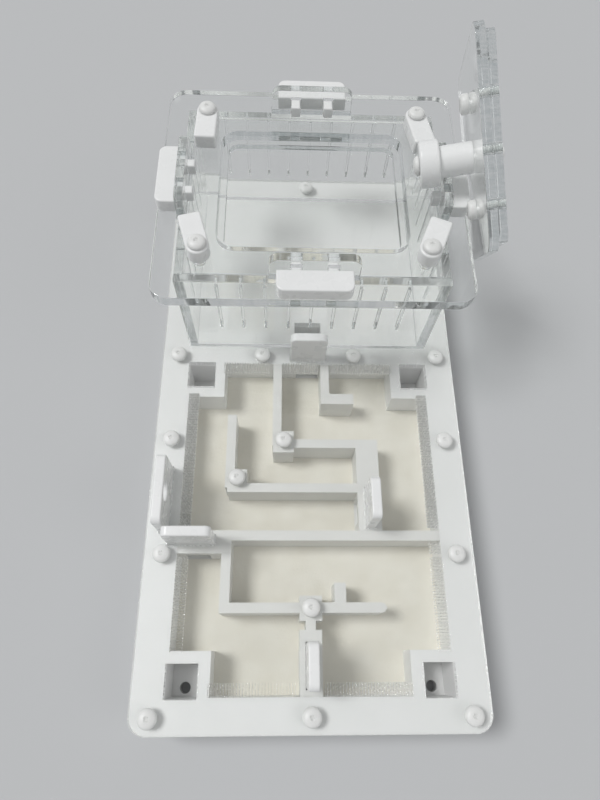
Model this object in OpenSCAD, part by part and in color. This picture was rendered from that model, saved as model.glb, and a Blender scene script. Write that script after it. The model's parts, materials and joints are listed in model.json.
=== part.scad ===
// Ant habitat: a shallow white nest with a plaster floor and a walled maze
// under a screwed-down clear cover, five lifting gates, and a clear foraging
// box at the rear. The box's top plate is held by four two-prong keys through
// tabs on the walls. Four turn buttons hold the lid, which hangs by its knob
// over the right-hand tab.
// Frame: origin at the centre of the underside, +Y to the rear (box end), +Z up.

/* [Nest] */
// Width of the nest, side to side
nest_w = 130; // [128:1:136]
// Length of the nest, front to rear
nest_l = 256; // [254:1:270]
// Height of the white nest under its cover
nest_h = 22; // [20:1:28]
// Thickness of the slab under the chambers
slab_h = 5; // [4:0.5:6]
// Corner radius of the nest and its cover
nest_r = 6.5; // [3:0.5:8]
// Thickness of the plaster floor
plaster_h = 3; // [2:0.5:4]
// Thickness of the thin maze walls
maze_t = 3.8; // [3:0.2:4]

/* [Cover] */
// Thickness of the clear nest cover
cover_h = 3; // [2:0.5:5]
// Distance from one vent slit to the next
vent_pitch = 1.15; // [1:0.05:2]
// Width of a vent slit
vent_w = 0.5; // [0.3:0.05:0.7]
// Length of a vent slit
vent_l = 4.4; // [3:0.1:5]

/* [Gates] */
// Thickness of a gate
gate_t = 3.9; // [3:0.1:4]
// Height of a gate above the cover
gate_rise = 17.5; // [12:0.5:20]
// Height of the doorways that the gates close
door_h = 10; // [6:0.5:12]
// Width of the doorways
door_w = 10; // [6:0.5:12]

/* [Foraging box] */
// Width of the box over its walls
box_w = 106.4; // [104:0.2:108]
// Length of the box over its walls
box_l = 89.2; // [86:0.2:92]
// Height of the box walls
box_h = 48; // [40:1:60]
// Thickness of the box walls
wall_t = 3.5; // [3:0.1:4]
// Width of the tabs that rise through the top plate
tab_w = 34; // [30:1:36]
// Height of the tabs above the top plate
tab_rise = 11; // [10:0.5:12]

/* [Top plate] */
// Width of the top plate
plate_w = 123; // [120:1:126]
// Length of the top plate
plate_l = 108; // [106:1:112]
// Thickness of the top plate
plate_h = 5; // [3:0.5:6]
// Width of the opening for the lid
opening_w = 75.4; // [70:0.2:78]
// Length of the opening for the lid
opening_l = 60.2; // [56:0.2:62]
// Width of the ledge that the seated lid rests on
ledge = 2.4; // [1.5:0.1:3]

/* [Lid] */
// Gap between the seated lid and its opening
lid_gap = 0.8; // [0.4:0.1:1.2]
// Angle at which the hung lid leans in over the box
lid_lean = 14; // [12:1:15]
// Turn of the hung lid in its own plane
lid_turn = 33; // [20:1:40]

/* [Hidden] */
$fn = 64;

eps = 0.01;
gap = 0.2;         // play beside a sliding piece
rest_gap = 0.1;    // gap under a piece that rests on a flat face

// Levels
floor_z = slab_h + plaster_h;
cover_z = nest_h + cover_h;
plate_z = cover_z + box_h;
plate_top = plate_z + plate_h;

// Chambers: one recess, split by the divider
recess_x = 52.4;
recess_front = -116;
recess_rear = 18.8;

// Corner wells, cut through the cover down to the slab
well = 11.8;
well_x = 47.2;
well_front = -110.6;
well_rear = 12.7;
well_wall = 4.3;
drain_r = 2.1;
drain_x = 48.2;
drain_y = -113.3;

// Screws
screw_r = 2;
screw_hole_r = 2.06;
screw_head_r = 3.5;
screw_head_h = 2.3;
dome_r = 6;          // radius of the head's domed top
screw_depth = 8;
edge_x = nest_w / 2 - 7;
edge_y = nest_l / 2 - 5.7;
mid_row_y = 22.3;
cover_screw_at = [
    [-edge_x, -edge_y], [0, -edge_y], [edge_x, -edge_y],
    [-edge_x, -65.5], [edge_x, -65.5], [-edge_x, -18], [edge_x, -18],
    [-edge_x, mid_row_y], [-20.5, mid_row_y], [20.5, mid_row_y], [edge_x, mid_row_y],
    [-edge_x, edge_y], [0, edge_y], [edge_x, edge_y]
];

// Maze, as [left, front, right, rear] of each wall
divider_front = -60;
divider_rear = -56;
leaf_front = -65.1;  // front face of the divider's thick left end, which holds a gate
leaf_right = -31.2;
trunk_x = -13.6;     // wall that runs forward from the rear edge
pillar_a = [-15.2, -23, -6.4, -13.4];
pillar_b = [-33.9, -40.4, -25.9, -30.6];
pillar_c = [-4.2, -90.1, 4.4, -81];
shelf_y = -19;       // wall from pillar A to the right
low_y = -38.4;       // wall from pillar B to the right
left_x = -33;        // wall rearward from pillar B
left_rear = -6;
hook = [5.6, -0.5, 20, 4.4];
stub = [9.3, -85.4, 13.8, -76.2];
front_frame_rear = -93.3;
arm_y = -85.4;       // cross wall of the lower chamber
arm_right = 27.6;    // where its pointed end begins
frame_w = 9.4;       // walls thickened to hold a gate
right_frame_x = 24.7;
lower_frame_w = 8.4;

// Gates, as centre and length; the slot is a little larger all round
box_gate_y = 22.2;
box_gate_l = 15.9;
left_gate_x = -58.2;
left_gate_y = -43.7;
left_gate_l = 27;
middle_gate_x = -46.9;
middle_gate_y = -60.05;
middle_gate_l = 18.6;
right_gate_y = -46.9;
right_gate_l = 16.5;
front_gate_y = -105.6;
front_gate_l = 15.8;
gate_corner_r = 2.5;
finger_r = 4;        // hole through the long left gate
finger_edge = 1.6;   // what is left above it
port_r = 5;          // tube port that the left gate closes
passage_w = 12;      // way from the nest up into the box
passage_front = 31.6;
passage_rear = 41.6;

// Foraging box
box_y = 71.1;
tab_r = 4;
slit_w = 0.8;
slit_pitch = 9.35;
slit_count = 9;
side_slit_count = 7;
slit_z = 42.4;

// Openings of the top plate and of the ledge plate under it
opening_r = 7;
plate_r = 7.5;
ledge_h = 2.5;
inner_w = opening_w - 2 * ledge - 0.4;
inner_l = opening_l - 2 * ledge + 0.2;

// Keys: a block outside the wall and two prongs through its tab
key_w = 28.6;
key_h = 6;
key_r = 3;
prong_w = 3.8;
prong_h = 4.8;
prong_x = 6.85;
prong_out = 2.5;

// Turn buttons
latch_x = 43.6;
latch_dy = 34.4;
latch_r = 4.4;
latch_l = 15;
latch_h = 6.5;

// Lid parts
lid_t = 3.5;
plug_t = 3.3;
lid_w = opening_w - 2 * lid_gap;
lid_l = opening_l - 2 * lid_gap;
plug_w = inner_w - 2 * lid_gap;
plug_l = inner_l - 2 * lid_gap;
neck_r = 5.8;
neck_l = 12;
disc_r = 8.6;
disc_h = 7.4;
bolt_x = 19;
bolt_end = 2.8;      // bolt left proud of the lid plate
bolt_nut_w = 7;
bolt_nut_h = 2.6;
stud_nut_w = 6.8;
stud_nut_h = 2.4;
stud_end = 2.2;      // stud left proud of its nut
lid_at = [58.6, 68.4, 97.8];

// ---------- shared shapes ----------

module rounded(w, l, r) {
    square([w, l - 2 * r], center = true);
    square([w - 2 * r, l], center = true);
    for (x = [-1, 1], y = [-1, 1])
        translate([x * (w / 2 - r), y * (l / 2 - r)]) circle(r);
}

module area(a) {
    translate([a[0], a[1]]) square([a[2] - a[0], a[3] - a[1]]);
}

// A pan-head screw, its head resting on z = 0 and its shank below
module screw(shank) {
    rotate_extrude() {
        translate([0, -shank]) square([screw_r, shank + eps]);
        intersection() {
            square([screw_head_r, screw_head_h]);
            translate([0, screw_head_h - dome_r]) circle(dome_r);
        }
    }
}

// A gate standing across X, its foot at z = 0
module gate_plate(len, finger_hole = false) {
    rise = cover_z + gate_rise - floor_z - gap;
    translate([0, gate_t / 2, 0]) rotate([90, 0, 0]) linear_extrude(gate_t)
        difference() {
            union() {
                translate([-len / 2, 0]) square([len, rise - gate_corner_r]);
                translate([gate_corner_r - len / 2, 0]) square([len - 2 * gate_corner_r, rise]);
                for (x = [-1, 1])
                    translate([x * (len / 2 - gate_corner_r), rise - gate_corner_r])
                        circle(gate_corner_r);
            }
            if (finger_hole) translate([0, rise - finger_r - finger_edge]) circle(finger_r);
        }
}

// Plan of the slot for a gate that stands across X
module gate_slot(len) {
    square([len + 2 * gap, gate_t + 2 * gap], center = true);
}

// Every gate's slot, in plan
module gate_slots() {
    translate([0, box_gate_y]) gate_slot(box_gate_l);
    translate([left_gate_x, left_gate_y]) rotate(90) gate_slot(left_gate_l);
    translate([middle_gate_x, middle_gate_y]) gate_slot(middle_gate_l);
    translate([right_frame_x, right_gate_y]) rotate(90) gate_slot(right_gate_l);
    translate([0, front_gate_y]) rotate(90) gate_slot(front_gate_l);
}

// The slots below the cover, where the gates run down to the plaster
module gate_wells() {
    translate([0, 0, floor_z]) linear_extrude(nest_h) gate_slots();
}

// A doorway block, door_w across X and deep enough to cut both leaves
module doorway() {
    translate([-door_w / 2, -frame_w, floor_z]) cube([door_w, 2 * frame_w, door_h]);
}

module well_spots() {
    for (x = [-1, 1], y = [well_front, well_rear])
        translate([x * well_x, y]) children();
}

// Plan of the recess with the corner wells' blocks left standing
module recess_plan() {
    difference() {
        area([-recess_x, recess_front, recess_x, recess_rear]);
        well_spots() square(well + 2 * well_wall, center = true);
    }
}

module screw_holes(points, depth) {
    for (p = points)
        translate([p[0], p[1], nest_h - depth]) cylinder(r = screw_hole_r, h = depth + eps);
}

maze_screw_at = [
    [(pillar_a[0] + pillar_a[2]) / 2, (pillar_a[1] + pillar_a[3]) / 2],
    [(pillar_b[0] + pillar_b[2]) / 2, (pillar_b[1] + pillar_b[3]) / 2 + 0.8],
    [(pillar_c[0] + pillar_c[2]) / 2, (pillar_c[1] + pillar_c[3]) / 2]
];

// ---------- the nest ----------

module nest_slab() {
    color("white") difference() {
        linear_extrude(slab_h) rounded(nest_w, nest_l, nest_r);
        for (x = [-1, 1])
            translate([x * drain_x, drain_y, -eps]) cylinder(r = drain_r, h = slab_h + 2 * eps);
    }
}

module nest_rim() {
    color("white") difference() {
        translate([0, 0, slab_h]) linear_extrude(nest_h - slab_h) difference() {
            rounded(nest_w, nest_l, nest_r);
            recess_plan();
            well_spots() square(well, center = true);
        }
        screw_holes(cover_screw_at, screw_depth + 2);
        gate_wells();
        translate([0, box_gate_y, 0]) doorway();
        translate([-passage_w / 2, box_gate_y, floor_z])
            cube([passage_w, passage_rear - box_gate_y, door_h]);
        translate([-passage_w / 2, passage_front, floor_z])
            cube([passage_w, passage_rear - passage_front, nest_h]);
        translate([-nest_w / 2 - eps, left_gate_y, floor_z + port_r + 0.5])
            rotate([0, 90, 0]) cylinder(r = port_r, h = nest_w / 2 - recess_x + 2 * eps);
    }
}

module plaster_floor() {
    color("cornsilk") translate([0, 0, slab_h]) linear_extrude(plaster_h) difference() {
        recess_plan();
        upper_plan();
        hook_plan();
        divider_plan();
        lower_plan();
    }
}

// ---------- the maze ----------

module upper_plan() {
    area([trunk_x - maze_t / 2, pillar_a[1] + 3, trunk_x + maze_t / 2, recess_rear]);
    area(pillar_a);
    area([pillar_a[0], shelf_y - maze_t / 2, right_frame_x, shelf_y + maze_t / 2]);
    area([right_frame_x - frame_w / 2, divider_rear, right_frame_x + frame_w / 2,
        shelf_y + maze_t / 2]);
    area([pillar_b[0], low_y - maze_t / 2, right_frame_x, low_y + maze_t / 2]);
    area([pillar_b[0], low_y, pillar_b[2], pillar_b[3]]);
    area([left_x - maze_t / 2, low_y, left_x + maze_t / 2, left_rear]);
}

module hook_plan() {
    area([hook[0], hook[1], hook[0] + maze_t, recess_rear]);
    area(hook);
}

module divider_plan() {
    area([leaf_right, divider_front, recess_x, divider_rear]);
    area([-recess_x, leaf_front, leaf_right, divider_rear]);
}

module lower_plan() {
    area([leaf_right - maze_t, arm_y - maze_t / 2, leaf_right, leaf_front]);
    area([leaf_right - maze_t, arm_y - maze_t / 2, pillar_c[0], arm_y + maze_t / 2]);
    area(pillar_c);
    area([pillar_c[2], arm_y - maze_t / 2, arm_right, arm_y + maze_t / 2]);
    translate([arm_right, arm_y]) circle(maze_t / 2, $fn = 6);
    area(stub);
    area([-maze_t / 2, front_frame_rear, maze_t / 2, pillar_c[1]]);
    area([-lower_frame_w / 2, recess_front, lower_frame_w / 2, front_frame_rear]);
}

module maze_wall() {
    translate([0, 0, slab_h]) linear_extrude(nest_h - slab_h) children();
}

module maze_upper() {
    color("white") difference() {
        maze_wall() upper_plan();
        gate_wells();
        translate([right_frame_x, right_gate_y, 0]) rotate([0, 0, 90]) doorway();
        screw_holes([maze_screw_at[0], maze_screw_at[1]], screw_depth + 2);
    }
}

module maze_hook() {
    color("white") maze_wall() hook_plan();
}

module maze_divider() {
    color("white") difference() {
        maze_wall() divider_plan();
        gate_wells();
        translate([middle_gate_x + 2, middle_gate_y, 0]) doorway();
    }
}

module maze_lower() {
    color("white") difference() {
        maze_wall() lower_plan();
        gate_wells();
        translate([0, front_gate_y, 0]) rotate([0, 0, 90]) doorway();
        screw_holes([maze_screw_at[2]], screw_depth + 2);
    }
}

// ---------- the cover and its screws ----------

// A row of slits across X, from one place to another along X
module vent_row(from, to) {
    count = floor((to - from) / vent_pitch);
    for (i = [0 : count])
        translate([from + i * vent_pitch - vent_w / 2, 0]) square([vent_w, vent_l]);
}

module vents() {
    inset = 0.3;
    for (span = [[-37.2, -5.4], [5.4, 37.2]])
        translate([0, recess_front + inset]) vent_row(span[0], span[1]);
    for (span = [[-37.2, -16.6], [-11, 4.8], [10.6, 37.2]])
        translate([0, recess_rear - inset - vent_l]) vent_row(span[0], span[1]);
    for (span = [[-100.6, -66.2], [-54.6, 3.2]]) {
        translate([-recess_x + inset + vent_l, 0]) rotate(90) vent_row(span[0], span[1]);
        translate([recess_x - inset, 0]) rotate(90) vent_row(span[0], span[1]);
    }
    translate([recess_x - inset, 0]) rotate(90) vent_row(-65, -61);
}

module nest_cover() {
    color("lightcyan", 0.4) translate([0, 0, nest_h]) linear_extrude(cover_h) difference() {
        rounded(nest_w, nest_l, nest_r);
        well_spots() square(well, center = true);
        gate_slots();
        vents();
        for (p = concat(cover_screw_at, maze_screw_at))
            translate(p) circle(screw_hole_r);
        area([-passage_w / 2, passage_front, passage_w / 2, passage_rear]);
    }
}

module cover_screws() {
    color("white") for (p = cover_screw_at)
        translate([p[0], p[1], cover_z]) screw(cover_h + screw_depth);
}

module maze_screws() {
    color("white") for (p = maze_screw_at)
        translate([p[0], p[1], cover_z]) screw(cover_h + screw_depth);
}

// ---------- the gates ----------

gate_foot = floor_z + gap;

module gate_box() {
    color("white") translate([0, box_gate_y, gate_foot]) gate_plate(box_gate_l);
}

module gate_left() {
    color("white") translate([left_gate_x, left_gate_y, gate_foot])
        rotate([0, 0, 90]) gate_plate(left_gate_l, finger_hole = true);
}

module gate_middle() {
    color("white") translate([middle_gate_x, middle_gate_y, gate_foot]) gate_plate(middle_gate_l);
}

module gate_right() {
    color("white") translate([right_frame_x, right_gate_y, gate_foot])
        rotate([0, 0, 90]) gate_plate(right_gate_l);
}

module gate_front() {
    color("white") translate([0, front_gate_y, gate_foot])
        rotate([0, 0, 90]) gate_plate(front_gate_l);
}

// ---------- the foraging box ----------

// A wall seen from outside, its foot on z = 0, with its tab and its slits
module box_wall(len, slits) {
    tab_top = box_h + plate_h + tab_rise;
    hole_z = box_h + plate_h;
    translate([0, wall_t / 2, 0]) rotate([90, 0, 0]) linear_extrude(wall_t) difference() {
        union() {
            translate([-len / 2, 0]) square([len, box_h]);
            translate([-tab_w / 2, box_h - eps]) square([tab_w, tab_top - box_h - tab_r]);
            translate([tab_r - tab_w / 2, box_h]) square([tab_w - 2 * tab_r, tab_top - box_h]);
            for (x = [-1, 1]) translate([x * (tab_w / 2 - tab_r), tab_top - tab_r]) circle(tab_r);
        }
        for (i = [0 : slits - 1])
            translate([(i - (slits - 1) / 2) * slit_pitch - slit_w / 2, slit_z - cover_z])
                square([slit_w, box_h - 3.5 - (slit_z - cover_z)]);
        for (x = [-1, 1])
            translate([x * prong_x - prong_w / 2 - gap, hole_z])
                square([prong_w + 2 * gap, prong_h + 1.6]);
    }
}

module box_wall_front() {
    color("lightcyan", 0.4) translate([0, box_y - box_l / 2 + wall_t / 2, cover_z])
        box_wall(box_w, slit_count);
}

module box_wall_rear() {
    color("lightcyan", 0.4) translate([0, box_y + box_l / 2 - wall_t / 2, cover_z])
        box_wall(box_w, slit_count);
}

module box_wall_left() {
    color("lightcyan", 0.4) translate([wall_t / 2 - box_w / 2, box_y, cover_z])
        rotate([0, 0, 90]) box_wall(box_l - 2 * wall_t, side_slit_count);
}

module box_wall_right() {
    color("lightcyan", 0.4) translate([box_w / 2 - wall_t / 2, box_y, cover_z])
        rotate([0, 0, 90]) box_wall(box_l - 2 * wall_t, side_slit_count);
}

module tab_slots() {
    slot_l = tab_w + 2 * gap;
    slot_t = wall_t + 2 * gap;
    for (y = [-1, 1]) translate([0, y * (box_l - wall_t) / 2])
        square([slot_l, slot_t], center = true);
    for (x = [-1, 1]) translate([x * (box_w - wall_t) / 2, 0])
        square([slot_t, slot_l], center = true);
}

module latch_spots() {
    for (x = [-1, 1], y = [-1, 1]) translate([x * latch_x, y * latch_dy]) children();
}

module top_plate() {
    color("lightcyan", 0.4) translate([0, box_y, plate_z]) difference() {
        linear_extrude(plate_h) difference() {
            rounded(plate_w, plate_l, plate_r);
            rounded(opening_w, opening_l, opening_r);
            tab_slots();
        }
        translate([0, 0, -eps]) linear_extrude(plate_h + 2 * eps)
            latch_spots() circle(screw_hole_r);
    }
}

module ledge_plate() {
    color("lightcyan", 0.4) translate([0, box_y, plate_z - ledge_h]) linear_extrude(ledge_h)
        difference() {
            square([box_w - 2 * wall_t - 2 * gap, box_l - 2 * wall_t - 2 * gap], center = true);
            rounded(inner_w, inner_l, opening_r - ledge);
            latch_spots() circle(screw_hole_r);
        }
}

// ---------- keys and turn buttons ----------

// A key seen from above: block towards -Y, prongs towards +Y, wall face at y = 0
module key(depth) {
    translate([0, 0, plate_top + rest_gap]) {
        linear_extrude(key_h) {
            translate([-key_w / 2, key_r - depth]) square([key_w, depth - key_r - gap]);
            translate([key_r - key_w / 2, -depth]) square([key_w - 2 * key_r, key_r + eps]);
            for (x = [-1, 1]) translate([x * (key_w / 2 - key_r), key_r - depth]) circle(key_r);
        }
        for (x = [-1, 1]) translate([x * prong_x - prong_w / 2, -1, 0])
            cube([prong_w, 1 + wall_t + prong_out, prong_h]);
    }
}

front_depth = (plate_l - box_l) / 2;
side_depth = (plate_w - box_w) / 2;

module key_front() {
    color("white") translate([0, box_y - box_l / 2, 0]) key(front_depth);
}

module key_rear() {
    color("white") translate([0, box_y + box_l / 2, 0]) rotate([0, 0, 180]) key(front_depth);
}

module key_left() {
    color("white") translate([-box_w / 2, box_y, 0]) rotate([0, 0, -90]) key(side_depth);
}

module key_right() {
    color("white") translate([box_w / 2, box_y, 0]) rotate([0, 0, 90]) key(side_depth);
}

// A turn button about its screw, its tail towards +X before it is turned
module latch(side_x, side_y, heading) {
    color("white") translate([side_x * latch_x, box_y + side_y * latch_dy, plate_top + rest_gap])
        rotate([0, 0, heading]) difference() {
            linear_extrude(latch_h) {
                circle(latch_r);
                translate([0, -latch_r]) square([latch_l - 1, 2 * latch_r]);
                translate([0, 1 - latch_r]) square([latch_l, 2 * latch_r - 2]);
                for (y = [-1, 1]) translate([latch_l - 1, y * (latch_r - 1)]) circle(1);
            }
            translate([0, 0, -eps]) cylinder(r = screw_hole_r, h = latch_h + 2 * eps);
        }
}

module latch_front_left() { latch(-1, -1, 106); }
module latch_front_right() { latch(1, -1, 68); }
module latch_rear_left() { latch(-1, 1, 268); }
module latch_rear_right() { latch(1, 1, 281); }

module latch_screws() {
    head_z = plate_top + latch_h + 2 * rest_gap;
    color("white") translate([0, box_y, head_z]) latch_spots()
        screw(head_z - plate_z + ledge_h);
}

// ---------- the lid, hung by its knob ----------

// Lid parts are drawn lying flat: the plate's upper face on z = 0, the knob above it
module hung() {
    translate(lid_at) rotate([0, -90 - lid_lean, 0]) rotate([0, 0, 90 - lid_turn]) children();
}

module lid_holes() {
    circle(screw_hole_r);
    for (x = [-1, 1]) translate([x * bolt_x, 0]) circle(screw_hole_r);
}

module lid_plate() {
    color("lightcyan", 0.4) hung() translate([0, 0, -lid_t]) linear_extrude(lid_t) difference() {
        rounded(lid_w, lid_l, opening_r - 1);
        lid_holes();
    }
}

module lid_plug() {
    color("lightcyan", 0.4) hung() translate([0, 0, -lid_t - plug_t]) linear_extrude(plug_t)
        difference() {
            rounded(plug_w, plug_l, opening_r - ledge - 1);
            lid_holes();
        }
}

module lid_knob() {
    edge_r = 1;
    color("white") hung() rotate_extrude() {
        translate([screw_hole_r, 0]) square([neck_r - screw_hole_r, neck_l + eps]);
        translate([screw_hole_r, neck_l]) square([disc_r - edge_r - screw_hole_r, disc_h]);
        translate([screw_hole_r, neck_l + edge_r])
            square([disc_r - screw_hole_r, disc_h - 2 * edge_r]);
        for (y = [neck_l + edge_r, neck_l + disc_h - edge_r])
            translate([disc_r - edge_r, y]) circle(edge_r, $fn = 32);
    }
}

module lid_stud() {
    top = neck_l + disc_h;
    color("white") hung() translate([0, 0, top])
        screw(top + lid_t + plug_t + stud_nut_h + stud_end);
}

module hex_nut(across, height) {
    linear_extrude(height) difference() {
        circle(across / 2 / cos(30), $fn = 6);
        circle(screw_hole_r);
    }
}

module lid_stud_nut() {
    color("white") hung() translate([0, 0, -lid_t - plug_t - stud_nut_h])
        hex_nut(stud_nut_w, stud_nut_h);
}

// Bolts with their heads on the plug side
module lid_bolts() {
    color("white") hung() for (x = [-1, 1])
        translate([x * bolt_x, 0, -lid_t - plug_t]) rotate([180, 0, 0])
            screw(lid_t + plug_t + bolt_end);
}

module lid_bolt_nuts() {
    color("white") hung() for (x = [-1, 1]) translate([x * bolt_x, 0, 0])
        hex_nut(bolt_nut_w, bolt_nut_h);
}

nest_slab();
nest_rim();
plaster_floor();
maze_upper();
maze_hook();
maze_divider();
maze_lower();
nest_cover();
cover_screws();
maze_screws();
gate_box();
gate_left();
gate_middle();
gate_right();
gate_front();
box_wall_front();
box_wall_rear();
box_wall_left();
box_wall_right();
top_plate();
ledge_plate();
key_front();
key_rear();
key_left();
key_right();
latch_front_left();
latch_front_right();
latch_rear_left();
latch_rear_right();
latch_screws();
lid_plate();
lid_plug();
lid_knob();
lid_stud();
lid_stud_nut();
lid_bolts();
lid_bolt_nuts();
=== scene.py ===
import json
import math

import bmesh
import bpy
from mathutils import Matrix, Vector


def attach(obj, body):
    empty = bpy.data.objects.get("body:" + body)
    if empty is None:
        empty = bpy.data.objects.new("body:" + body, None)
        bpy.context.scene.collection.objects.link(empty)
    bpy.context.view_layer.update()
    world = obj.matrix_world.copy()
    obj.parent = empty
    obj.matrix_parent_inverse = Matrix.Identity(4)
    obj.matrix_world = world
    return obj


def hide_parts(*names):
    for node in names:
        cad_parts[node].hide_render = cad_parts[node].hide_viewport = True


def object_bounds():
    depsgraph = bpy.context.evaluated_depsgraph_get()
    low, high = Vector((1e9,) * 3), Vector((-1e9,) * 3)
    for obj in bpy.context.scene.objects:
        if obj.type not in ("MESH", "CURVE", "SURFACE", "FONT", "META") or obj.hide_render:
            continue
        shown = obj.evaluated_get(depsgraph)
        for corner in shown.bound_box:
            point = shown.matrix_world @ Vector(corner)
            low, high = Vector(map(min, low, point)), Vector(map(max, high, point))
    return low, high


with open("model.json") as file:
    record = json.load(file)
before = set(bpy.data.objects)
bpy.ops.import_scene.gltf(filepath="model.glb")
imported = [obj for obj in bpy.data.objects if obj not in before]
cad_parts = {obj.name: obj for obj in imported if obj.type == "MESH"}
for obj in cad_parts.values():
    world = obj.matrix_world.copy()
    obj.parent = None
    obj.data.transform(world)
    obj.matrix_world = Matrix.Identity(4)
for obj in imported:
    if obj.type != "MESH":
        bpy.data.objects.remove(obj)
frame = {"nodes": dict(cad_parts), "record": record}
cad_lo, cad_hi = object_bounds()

MM = 0.001
scene = bpy.context.scene

# ---------------------------------------------------------------- camera

EYE = (-12.5, -103.6, 260.8)
LENS, SENSOR, CLIP_START = 26.51, 36, 0.01
PITCH, YAW, ROLL = math.radians(66.117), math.radians(4.845), math.radians(4.963)
forward = Vector(
    (math.sin(YAW) * math.cos(PITCH), math.cos(YAW) * math.cos(PITCH), -math.sin(PITCH))
)
level = Vector((math.cos(YAW), -math.sin(YAW), 0))
upward = level.cross(forward)
right = math.cos(ROLL) * level + math.sin(ROLL) * upward
up = math.cos(ROLL) * upward - math.sin(ROLL) * level

camera = bpy.data.objects.new("camera", bpy.data.cameras.new("camera"))
scene.collection.objects.link(camera)
camera.matrix_world = Matrix.Translation(Vector(EYE) * MM) @ Matrix(
    (right, up, -forward)
).transposed().to_4x4()
camera.data.lens = LENS
camera.data.sensor_width = SENSOR
camera.data.clip_start = CLIP_START
scene.camera = camera
scene.view_settings.view_transform = "Standard"

# ------------------------------------------------------------- materials

SOAK_MM = 3  # how far light spreads inside white plastic
CLEAR = (0.985, 0.99, 0.987, 1)
SHINES_THROUGH = (0.975, 0.98, 0.977, 1)
MOST_BOUNCES = 2.5  # light that has been mirrored more often than this leaves the clear sheet
FACE_COSINE = 0.7  # a sheet's face, not its edge, looks along its normal by more than this


class Nodes:
    """A material and short ways to add nodes to it."""

    def __init__(self, name):
        self.mat = bpy.data.materials.new(name)
        self.mat.use_nodes = True
        self.tree = self.mat.node_tree
        self.tree.nodes.clear()
        self.out = self.add("ShaderNodeOutputMaterial")
        self.bsdf = self.add("ShaderNodeBsdfPrincipled")
        self.link(self.bsdf.outputs[0], self.out.inputs["Surface"])
        self.coords = self.add("ShaderNodeTexCoord")

    def add(self, kind, **values):
        node = self.tree.nodes.new(kind)
        for key, value in values.items():
            setattr(node, key, value)
        return node

    def link(self, source, target):
        self.tree.links.new(source, target)

    def set(self, **values):
        for key, value in values.items():
            self.bsdf.inputs[key.replace("_", " ")].default_value = value

    def scaled(self, scale):
        """Object coordinates times a size along each axis."""
        mapping = self.add("ShaderNodeMapping")
        mapping.inputs["Scale"].default_value = scale
        self.link(self.coords.outputs["Object"], mapping.inputs["Vector"])
        return mapping.outputs["Vector"]

    def noise(self, size_mm, detail=3, stretch=(1, 1, 1), roughness=0.5):
        """Noise whose grain is about size_mm across."""
        node = self.add("ShaderNodeTexNoise")
        node.inputs["Scale"].default_value = 1
        node.inputs["Detail"].default_value = detail
        node.inputs["Roughness"].default_value = roughness
        self.link(self.scaled([s / (size_mm * MM) for s in stretch]), node.inputs["Vector"])
        return node.outputs["Fac"]

    def ramp(self, source, low, high, at=(0.35, 0.65)):
        """Two colours, or two levels, over part of a 0 to 1 input."""
        node = self.add("ShaderNodeValToRGB")
        for element, place, value in zip(node.color_ramp.elements, at, (low, high)):
            element.position = place
            element.color = value if isinstance(value, tuple) else (value, value, value, 1)
        self.link(source, node.inputs["Fac"])
        return node.outputs["Color"]

    def math(self, operation, first, second):
        node = self.add("ShaderNodeMath", operation=operation)
        for socket, value in zip(node.inputs, (first, second)):
            if isinstance(value, (int, float)):
                socket.default_value = value
            else:
                self.link(value, socket)
        return node.outputs[0]

    def blend(self, factor, first, second):
        node = self.add("ShaderNodeMix", data_type="RGBA")
        self.link(factor, node.inputs["Factor"])
        for socket, value in zip((node.inputs[6], node.inputs[7]), (first, second)):
            if isinstance(value, tuple):
                socket.default_value = value
            else:
                self.link(value, socket)
        return node.outputs[2]

    def bump(self, height, depth_mm, strength):
        node = self.add("ShaderNodeBump")
        node.inputs["Distance"].default_value = depth_mm * MM
        node.inputs["Strength"].default_value = strength
        self.link(height, node.inputs["Height"])
        self.link(node.outputs[0], self.bsdf.inputs["Normal"])

    def flat_faces(self, normal):
        """1 on a sheet's two flat faces and 0 on its cut edges."""
        node = self.add("ShaderNodeVectorMath", operation="DOT_PRODUCT")
        node.inputs[1].default_value = normal
        self.link(self.coords.outputs["Normal"], node.inputs[0])
        size = self.math("ABSOLUTE", node.outputs["Value"], 0.0)
        return self.math("GREATER_THAN", size, FACE_COSINE)


def white_plastic(name, colour, shade, rough, grain_mm, glow):
    """White moulded or printed plastic; glow is how much light soaks in before it comes back."""
    n = Nodes(name)
    n.set(Subsurface_Weight=glow, Subsurface_Radius=(1, 1, 1), Subsurface_Scale=SOAK_MM * MM)
    n.link(n.ramp(n.noise(14, 4), shade, colour), n.bsdf.inputs["Base Color"])
    n.link(n.ramp(n.noise(6, 2), rough - 0.02, rough + 0.02), n.bsdf.inputs["Roughness"])
    n.set(IOR=1.5, Specular_IOR_Level=0.45)
    n.bump(n.noise(grain_mm, 2), 0.004, 0.15)
    return n.mat


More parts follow.
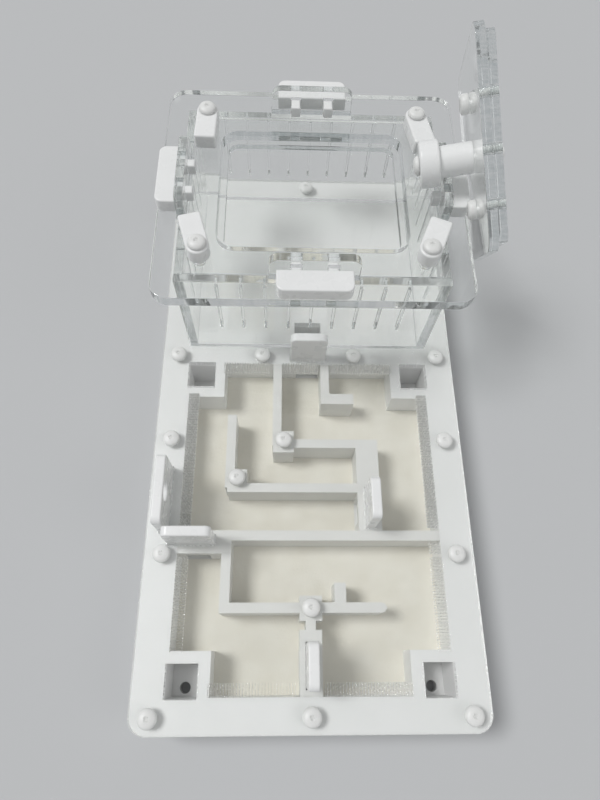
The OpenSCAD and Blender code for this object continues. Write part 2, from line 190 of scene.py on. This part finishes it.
def plaster(name):
    """Cast plaster, cloudy and a little dusty, with fine pores that hold painted shade."""
    n = Nodes(name)
    cloud = n.ramp(n.noise(11, 5), (0.76, 0.73, 0.645, 1), (0.83, 0.805, 0.73, 1), (0.3, 0.7))
    pores = n.add("ShaderNodeTexVoronoi")
    n.link(n.scaled([1 / (1.3 * MM)] * 3), pores.inputs["Vector"])
    pores.inputs["Scale"].default_value = 1
    # Each pore is darkened towards its bottom: painted shade in the pores
    painted_pore_shade = n.ramp(pores.outputs["Distance"], (0.63, 0.58, 0.49, 1), (1, 1, 1, 1), (0.03, 0.12))
    cloud_and_pore_shade = n.add("ShaderNodeMix", data_type="RGBA", blend_type="MULTIPLY")
    cloud_and_pore_shade.inputs["Factor"].default_value = 0.35
    n.link(cloud, cloud_and_pore_shade.inputs[6])
    n.link(painted_pore_shade, cloud_and_pore_shade.inputs[7])
    n.link(cloud_and_pore_shade.outputs[2], n.bsdf.inputs["Base Color"])
    n.link(n.ramp(n.noise(1.2), 0.82, 0.95), n.bsdf.inputs["Roughness"])
    n.set(Specular_IOR_Level=0.2)
    n.bump(n.math("ADD", n.noise(0.8, 6), pores.outputs["Distance"]), 0.1, 0.4)
    return n.mat


def acrylic(name, normal, along, frost, clearness, edge_shade):
    """Clear sheet: polished faces, and streaked cut edges with fine marks across them."""
    n = Nodes(name)
    face = n.flat_faces(normal)
    n.set(IOR=1.49, Transmission_Weight=1.0)
    streak = n.ramp(n.noise(0.7, 2, along), (*edge_shade, 1), CLEAR, (0.4, 0.7))
    n.link(n.blend(face, streak, CLEAR), n.bsdf.inputs["Base Color"])
    if clearness < 1:
        n.link(n.blend(face, (clearness, clearness, clearness, 1), (1, 1, 1, 1)),
               n.bsdf.inputs["Transmission Weight"])
    smear = n.ramp(n.noise(9, 5), 0.0, 0.03, (0.45, 0.75))
    cut = n.ramp(n.noise(0.5, 2, along), 0.3 * frost, frost)
    n.link(n.blend(face, cut, smear), n.bsdf.inputs["Roughness"])
    marks = n.noise(0.45, 2, along)
    n.bump(n.math("MULTIPLY", marks, n.math("SUBTRACT", 1.0, face)), 0.03, 0.35)
    # Lamps shine through, and light caught inside the sheet gets out of it again
    path = n.add("ShaderNodeLightPath")
    caught = n.math("GREATER_THAN", path.outputs["Glossy Depth"], MOST_BOUNCES)
    shader = n.bsdf.outputs[0]
    for chosen in (caught, path.outputs["Is Diffuse Ray"], path.outputs["Is Shadow Ray"]):
        clear = n.add("ShaderNodeBsdfTransparent")
        clear.inputs["Color"].default_value = SHINES_THROUGH
        mix = n.add("ShaderNodeMixShader")
        n.link(chosen, mix.inputs[0])
        n.link(shader, mix.inputs[1])
        n.link(clear.outputs[0], mix.inputs[2])
        shader = mix.outputs[0]
    n.link(shader, n.out.inputs["Surface"])
    return n.mat


# Colour, shade, roughness, grain in mm, and how much light soaks in
nest_white = white_plastic(
    "nest_white", (0.86, 0.863, 0.858, 1), (0.835, 0.84, 0.833, 1), 0.42, 0.6, 0.3
)
# The maze walls get a darker, warmer copy of the white plastic: painted shade standing in for the
# shade on their sides
wall_white_painted_shade = white_plastic(
    "wall_white_painted_shade", (0.775, 0.775, 0.755, 1), (0.755, 0.753, 0.732, 1), 0.42, 0.6, 0.3
)
part_white = white_plastic(
    "part_white", (0.86, 0.868, 0.868, 1), (0.835, 0.844, 0.844, 1), 0.28, 0.9, 0.2
)
nylon_white = white_plastic(
    "nylon_white", (0.795, 0.8, 0.79, 1), (0.765, 0.772, 0.76, 1), 0.38, 0.7, 0.6
)

# ------------------------------------------------------ shapes on the frame

SAME, NO_LENGTH = 1e-6, 1e-7  # points this near each other are one
ALIGNED, SOFT_CORNER = 0.99, 0.8  # cosines: the same way, and a corner that shades as a curve
STRAIGHT, BLUNT = math.radians(179.7), math.radians(150)

# Where the hung lid's knob side has its middle, how far it leans, and its turn about its stud
LID_AT = (58.6, 68.4, 97.8)
LEAN, LID_TURN = math.radians(14), math.radians(90 - 33)
lid_normal = (-math.cos(LEAN), 0, -math.sin(LEAN))


def body_of(node):
    bodies = frame["record"]["behaviour"]["bodies"]
    return next(body for body, nodes in bodies.items() if node in nodes)


def finished(bm, node):
    """A new mesh for a CAD node, with smooth shading."""
    mesh = bpy.data.meshes.new(node + "_finished")
    bm.to_mesh(mesh)
    bm.free()
    mesh.shade_smooth()
    return mesh


def place(mesh, node, material, *others):
    """Shows a mesh in place of a CAD node, and of any others, on that node's body."""
    mesh.materials.append(material)
    piece = bpy.data.objects.new(node + "_finished", mesh)
    scene.collection.objects.link(piece)
    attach(piece, body_of(node))
    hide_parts(node, *others)


def flat_loops(bm, axis, height):
    """The outlines of a node's faces that lie across axis at a height, the solid on their left."""
    faces = {f for f in bm.faces if f.normal.dot(axis) > ALIGNED
             and abs(f.calc_center_median().dot(axis) - height) < 0.01 * MM}
    after = {}
    for face in faces:
        for loop in face.loops:
            if not any(other in faces for other in loop.edge.link_faces if other is not face):
                after[loop.vert] = loop.link_loop_next.vert
    outlines = []
    while after:
        start, v = after.popitem()
        outline = [start]
        while v is not start:
            outline.append(v)
            v = after.pop(v)
        outlines.append([corner.co.copy() for corner in outline])
    return outlines


def without_straight(points):
    """An outline with the points along its straight runs left out."""
    kept = []
    for i, point in enumerate(points):
        before, following = points[i - 1] - point, points[(i + 1) % len(points)] - point
        if before.length > NO_LENGTH and before.angle(following) < STRAIGHT:
            kept.append(point)
    return kept


def filleted(points, radius, steps=4):
    """An outline with its sharp corners turned into arcs, as far as their sides allow."""
    smooth = []
    for i, point in enumerate(points):
        back, onward = points[i - 1] - point, points[(i + 1) % len(points)] - point
        inside = back.angle(onward)
        if radius == 0 or inside > BLUNT:
            smooth.append(point)
            continue
        reach = min(radius / math.tan(inside / 2), 0.45 * min(back.length, onward.length))
        first, last = point + back.normalized() * reach, point + onward.normalized() * reach
        for k in range(steps + 1):
            t = k / steps
            smooth.append((1 - t) ** 2 * first + 2 * t * (1 - t) * point + t * t * last)
    return smooth


def inward(points, axis):
    """For each corner, its move as the outline shrinks by 1, and its two sides' normals."""
    sides = []
    for i, point in enumerate(points):
        along = (points[(i + 1) % len(points)] - point).normalized()
        sides.append(axis.cross(along))
    moves = []
    for i, side in enumerate(sides):
        both = sides[i - 1] + side
        moves.append((both / (1 + sides[i - 1].dot(side)), sides[i - 1], side))
    return moves


def rounded_sheet(bm, normals, outlines, axis, low, high, edge, steps, shrink):
    """A sheet between two heights along axis, its edges rounded over, with its normals."""
    turns = [math.pi / 2 * k / steps for k in range(steps + 1)]
    rings = []  # how far in, at what height, and how much the surface looks up there
    for t in turns:
        inset, drop = edge * (1 - math.sin(t)), edge * (1 - math.cos(t))
        rings.append((shrink + inset, high - shrink - drop, math.cos(t)))
    rings += [(inset, low + high - height, -lift) for inset, height, lift in reversed(rings)]
    caps = ([], [])
    for points in outlines:
        moves = inward(points, axis)
        count = len(points)
        loops = []
        for inset, height, _ in rings:
            loops.append([bm.verts.new(p + move[0] * inset + axis * (height - p.dot(axis)))
                          for p, move in zip(points, moves)])
        for cap, loop in ((caps[0], loops[0]), (caps[1], loops[-1])):
            for i in range(count):
                cap.append(bm.edges.new((loop[i], loop[(i + 1) % count])))
        for k, (upper, lower) in enumerate(zip(loops, loops[1:])):
            lift_up, lift_low = rings[k][2], rings[k + 1][2]
            for i in range(count):
                j = (i + 1) % count
                side = moves[i][2]
                ends = []
                for neighbour in (moves[i][1], moves[j][2]):
                    soft = side.dot(neighbour) > SOFT_CORNER
                    ends.append((side + neighbour).normalized() if soft else side)
                face = bm.faces.new((upper[i], lower[i], lower[j], upper[j]))
                shades = ((ends[0], lift_up), (ends[0], lift_low),
                          (ends[1], lift_low), (ends[1], lift_up))
                normals[face] = [axis * lift - out * math.sqrt(max(0.0, 1 - lift * lift))
                                 for out, lift in shades]
    for cap, facing in ((caps[0], axis), (caps[1], -axis)):
        made = bmesh.ops.triangle_fill(bm, use_beauty=True, edges=cap)["geom"]
        for face in made:
            if isinstance(face, bmesh.types.BMFace):
                face.normal_update()
                if face.normal.dot(facing) < 0:
                    face.normal_flip()
                normals[face] = [facing] * len(face.verts)


def soften(node, material, axis, edge_mm, steps=3, shrink_mm=0.0, corner_mm=0.0):
    """Shows a CAD node cut from sheet with its edges rounded over, and a hair thinner if asked."""
    axis = Vector(axis).normalized()
    source = bmesh.new()
    source.from_mesh(frame["nodes"][node].data)
    bmesh.ops.remove_doubles(source, verts=source.verts, dist=SAME)
    source.normal_update()
    bottom = min(v.co.dot(axis) for v in source.verts)
    levels = sorted({round(f.calc_center_median().dot(axis), 5) for f in source.faces
                     if f.normal.dot(axis) > ALIGNED})
    bm = bmesh.new()
    normals = {}
    for level in levels:
        outlines = [filleted(without_straight(points), corner_mm * MM)
                    for points in flat_loops(source, axis, level)]
        rounded_sheet(bm, normals, outlines, axis, bottom, level, edge_mm * MM, steps,
                      shrink_mm * MM)
    source.free()
    bm.faces.index_update()
    split = [normal for face in bm.faces for normal in normals[face]]
    mesh = finished(bm, node)
    mesh.normals_split_custom_set(split)
    place(mesh, node, material)


# The way each sheet faces, and the stretch that lays its cutting marks across its edge
UP, BACK, ASIDE = (0, 0, 1), (0, 1, 0), (1, 0, 0)
ACROSS_X, ACROSS_Y, ACROSS_Z = (0.05, 1, 1), (1, 0.05, 1), (1, 1, 0.05)
SHEETS = {
    "nest_cover": (UP, ACROSS_Z),
    "top_plate": (UP, ACROSS_Z),
    "ledge_plate": (UP, ACROSS_Z),
    "box_wall_front": (BACK, ACROSS_Y),
    "box_wall_rear": (BACK, ACROSS_Y),
    "box_wall_left": (ASIDE, ACROSS_X),
    "box_wall_right": (ASIDE, ACROSS_X),
    "lid_plate": (lid_normal, ACROSS_X),
    "lid_plug": (lid_normal, ACROSS_X),
}
# How frosted, how clear and how dark the cut edges are
SAWN, POLISHED = (0.16, 0.9, (0.7, 0.735, 0.735)), (0.07, 1.0, (0.72, 0.76, 0.765))
CUTS = {
    "nest_cover": (0.35, 0.08, (0.98, 0.985, 0.982)),
    "top_plate": POLISHED,
    "ledge_plate": POLISHED,
    "lid_plate": POLISHED,
    "lid_plug": POLISHED,
}
# Edge radii and the gap left between clear sheets, in mm
COVER_EDGE, SHEET_EDGE, SHEET_GAP = 0.1, 0.25, 0.03
PART_EDGE, LATCH_EDGE, LATCH_CORNER, NUT_EDGE = 0.6, 0.8, 1.2, 0.3
for node, (normal, along) in SHEETS.items():
    material = acrylic("acrylic_" + node, normal, along, *CUTS.get(node, SAWN))
    edge = COVER_EDGE if node == "nest_cover" else SHEET_EDGE
    soften(node, material, normal, edge, 2, SHEET_GAP)

for node in ("gate_box", "gate_middle"):
    soften(node, part_white, BACK, PART_EDGE)
for node in ("gate_left", "gate_right", "gate_front"):
    soften(node, part_white, ASIDE, PART_EDGE)
for node in ("key_front", "key_rear", "key_left", "key_right"):
    soften(node, part_white, UP, PART_EDGE)
for node in ("latch_front_left", "latch_front_right", "latch_rear_left", "latch_rear_right"):
    soften(node, part_white, UP, LATCH_EDGE, steps=4, corner_mm=LATCH_CORNER)
soften("lid_stud_nut", nylon_white, lid_normal, NUT_EDGE, 2)

# Nodes shown as the CAD has them
for node, material in {
    "nest_slab": nest_white,
    "nest_rim": nest_white,
    "maze_upper": wall_white_painted_shade,
    "maze_hook": wall_white_painted_shade,
    "maze_divider": wall_white_painted_shade,
    "maze_lower": wall_white_painted_shade,
    "plaster_floor": plaster("cast_plaster"),
    "lid_knob": part_white,
}.items():
    data = frame["nodes"][node].data
    data.materials.clear()
    data.materials.append(material)

# --------------------------------------------------------------- screws

HEAD_R, SHANK_R, HEAD_H = 3.5 * MM, 2.0 * MM, 2.3 * MM
THREAD, THREAD_DEPTH = 0.7 * MM, 0.3 * MM
WING, WING_HALF, RECESS = 1.4 * MM, 0.4 * MM, 0.55 * MM  # of the driver's cross
CAP_R, CAP_H, CAP_BORE = 3.7 * MM, 3.2 * MM, 2.85 * MM
HEAD_SIDES, SHANK_SIDES = 40, 20
CREASE = math.radians(38)


def lathe(bm, rings, sides):
    """Joins rings of (radius, height, wave) into a closed turned shape."""
    loops = []
    for radius, height, wave in rings:
        loop = []
        for i in range(sides):
            turn = 2 * math.pi * i / sides
            r = radius - (wave(turn) if wave else 0)
            loop.append(bm.verts.new((r * math.cos(turn), r * math.sin(turn), height)))
        loops.append(loop)
    for low, high in zip(loops, loops[1:]):
        for i in range(sides):
            j = (i + 1) % sides
            bm.faces.new((low[i], low[j], high[j], high[i]))
    bm.faces.new(reversed(loops[0]))
    bm.faces.new(loops[-1])


def threaded(length):
    """A shank from z = -length up to z = 0, with its thread cut as a spiral."""
    bm = bmesh.new()
    steps = max(8, int(length / THREAD * 4))
    rings = []
    for k in range(steps + 1):
        height = -length + length * k / steps

        def wave(turn, height=height):
            phase = (height / THREAD - turn / (2 * math.pi)) % 1
            return THREAD_DEPTH * (1 - abs(2 * phase - 1))

        rings.append((SHANK_R, height, wave))
    lathe(bm, rings, SHANK_SIDES)
    mesh = bpy.data.meshes.new("shank")
    bm.to_mesh(mesh)
    bm.free()
    return mesh


def cross_cut(top):
    """The tapered four-winged shape that a driver recess is cut with."""
    bm = bmesh.new()
    for turn in (0, math.pi / 2):
        spin = Matrix.Rotation(turn, 4, "Z")
        ends = []
        for level, reach in ((top - RECESS, 0.35 * WING), (top + 0.5 * MM, 1.25 * WING)):
            ends.append([bm.verts.new(spin @ Vector((x * reach, y * WING_HALF, level)))
                         for x, y in ((-1, -1), (1, -1), (1, 1), (-1, 1))])
        for i in range(4):
            j = (i + 1) % 4
            bm.faces.new((ends[0][i], ends[0][j], ends[1][j], ends[1][i]))
        bm.faces.new(reversed(ends[0]))
        bm.faces.new(ends[1])
    mesh = bpy.data.meshes.new("cross")
    bm.to_mesh(mesh)
    bm.free()
    return mesh


def pan_head():
    """A domed head on z = 0 with a cross recess."""
    bm = bmesh.new()
    profile = [(0.92, 0.0), (1.0, 0.06), (1.0, 0.3), (0.985, 0.44), (0.94, 0.58), (0.86, 0.71),
               (0.74, 0.82), (0.58, 0.905), (0.4, 0.96), (0.2, 0.99), (0.06, 1.0)]
    lathe(bm, [(HEAD_R * r, HEAD_H * z, None) for r, z in profile], HEAD_SIDES)
    mesh = bpy.data.meshes.new("head")
    bm.to_mesh(mesh)
    bm.free()
    head = bpy.data.objects.new("head_draft", mesh)
    cutter = bpy.data.objects.new("cross_draft", cross_cut(HEAD_H))
    for draft in (head, cutter):
        scene.collection.objects.link(draft)
    cut = head.modifiers.new("recess", "BOOLEAN")
    cut.object, cut.solver, cut.use_self = cutter, "EXACT", True
    depsgraph = bpy.context.evaluated_depsgraph_get()
    result = bpy.data.meshes.new_from_object(head.evaluated_get(depsgraph))
    for draft in (head, cutter):
        bpy.data.objects.remove(draft)
    return result


def solids_of(node, into):
    """The lowest and highest corner of each of a node's solids, in the screw's own frame."""
    bm = bmesh.new()
    bm.from_mesh(frame["nodes"][node].data)
    bmesh.ops.remove_doubles(bm, verts=bm.verts, dist=SAME)
    left = set(bm.verts)
    boxes = []
    while left:
        front = [left.pop()]
        island = []
        while front:
            v = front.pop()
            island.append(into @ v.co)
            for edge in v.link_edges:
                other = edge.other_vert(v)
                if other in left:
                    left.remove(other)
                    front.append(other)
        low, high = (Vector([f(p[i] for p in island) for i in range(3)]) for f in (min, max))
        boxes.append((low, high))
    bm.free()
    return sorted(boxes, key=lambda box: tuple(round(c, 5) for c in box[0]))


def turned_piece(bm, node):
    """Shows a turned shape in place of a CAD node, with its sharp edges kept."""
    mesh = finished(bm, node)
    mesh.set_sharp_from_angle(angle=CREASE)
    place(mesh, node, nylon_white)


def screws(node, frame_of_screw):
    """Threaded screws with recessed heads, where the CAD node has its plain ones."""
    bm = bmesh.new()
    head = pan_head()
    shanks = {}
    for count, (low, high) in enumerate(solids_of(node, frame_of_screw.inverted())):
        centre = (low + high) / 2
        seat = high.z - HEAD_H
        length = round(seat - low.z, 5)
        if length not in shanks:
            shanks[length] = threaded(length)
        stand = frame_of_screw @ Matrix.Translation((centre.x, centre.y, seat))
        stand = stand @ Matrix.Rotation(0.7 + 1.9 * count, 4, "Z")  # each driven its own way
        for mesh in (head, shanks[length]):
            start = len(bm.verts)
            bm.from_mesh(mesh)
            bm.verts.ensure_lookup_table()
            bmesh.ops.transform(bm, matrix=stand, verts=bm.verts[start:])
    turned_piece(bm, node)


def cap_nuts(node, frame_of_screw):
    """Smooth round nuts closed at the top, where the CAD node has plain hexagons."""
    bore = SHANK_R / CAP_R
    profile = [(bore, CAP_BORE / CAP_H), (bore, 0.0), (0.9, 0.0), (0.98, 0.03), (1.0, 0.1),
               (1.0, 0.5), (0.985, 0.62), (0.94, 0.74), (0.86, 0.84), (0.74, 0.91), (0.58, 0.96),
               (0.4, 0.985), (0.2, 0.997), (0.06, 1.0)]
    bm = bmesh.new()
    for low, high in solids_of(node, frame_of_screw.inverted()):
        start = len(bm.verts)
        lathe(bm, [(CAP_R * r, CAP_H * z, None) for r, z in profile], HEAD_SIDES)
        bm.verts.ensure_lookup_table()
        middle = (low + high) / 2
        stand = frame_of_screw @ Matrix.Translation((middle.x, middle.y, low.z))
        bmesh.ops.transform(bm, matrix=stand, verts=bm.verts[start:])
    turned_piece(bm, node)


hung = (
    Matrix.Translation(Vector(LID_AT) * MM)
    @ Matrix.Rotation(-math.pi / 2 - LEAN, 4, "Y")
    @ Matrix.Rotation(LID_TURN, 4, "Z")
)
for node in ("cover_screws", "maze_screws", "latch_screws"):
    screws(node, Matrix.Identity(4))
screws("lid_stud", hung)
screws("lid_bolts", hung @ Matrix.Rotation(math.pi, 4, "X"))
cap_nuts("lid_bolt_nuts", hung)

# ---------------------------------------------------- floor, world, lights

FLOOR_HALF, FLOOR_GAP = 30.0, 0.2 * MM
FLOOR_GREY, BACKDROP_GREY, SKY = (0.53, 0.54, 0.55, 1), (0.49, 0.5, 0.51, 1), 0.37


def stage_floor():
    mesh = bpy.data.meshes.new("floor")
    turns = ((-1, -1), (1, -1), (1, 1), (-1, 1))
    corners = [(x * FLOOR_HALF, y * FLOOR_HALF, 0) for x, y in turns]
    mesh.from_pydata(corners, [], [(0, 1, 2, 3)])
    floor = bpy.data.objects.new("floor", mesh)
    floor.location.z = cad_lo[2] - FLOOR_GAP
    scene.collection.objects.link(floor)
    n = Nodes("floor")
    n.set(Base_Color=FLOOR_GREY, Roughness=0.8)
    mesh.materials.append(n.mat)


def lamp(name, place, spread, strength):
    """Soft parallel light that falls from a place towards the object."""
    light = bpy.data.lights.new(name, "SUN")
    light.angle, light.energy = math.radians(spread), strength
    lamp_object = bpy.data.objects.new(name, light)
    lamp_object.location = place
    lamp_object.rotation_euler = (-Vector(place)).to_track_quat("-Z", "Y").to_euler()
    scene.collection.objects.link(lamp_object)


def studio_world():
    """White light from all round, behind a backdrop as bright as the lit floor."""
    world = bpy.data.worlds.new("studio")
    world.use_nodes = True
    tree = world.node_tree
    light = tree.nodes["Background"]
    light.inputs["Color"].default_value = (1, 1, 1, 1)
    light.inputs["Strength"].default_value = SKY
    backdrop = tree.nodes.new("ShaderNodeBackground")
    backdrop.inputs["Color"].default_value = BACKDROP_GREY
    path = tree.nodes.new("ShaderNodeLightPath")
    shader = light.outputs[0]
    for ray in ("Is Camera Ray", "Is Glossy Ray", "Is Transmission Ray"):
        mix = tree.nodes.new("ShaderNodeMixShader")
        tree.links.new(path.outputs[ray], mix.inputs[0])
        tree.links.new(shader, mix.inputs[1])
        tree.links.new(backdrop.outputs[0], mix.inputs[2])
        shader = mix.outputs[0]
    tree.links.new(shader, tree.nodes["World Output"].inputs["Surface"])
    scene.world = world


stage_floor()
studio_world()
lamp("key", (-0.6, 0.13, 1.0), 19, 1.7)
lamp("fill", (0.9, -0.3, 0.9), 35, 0.32)
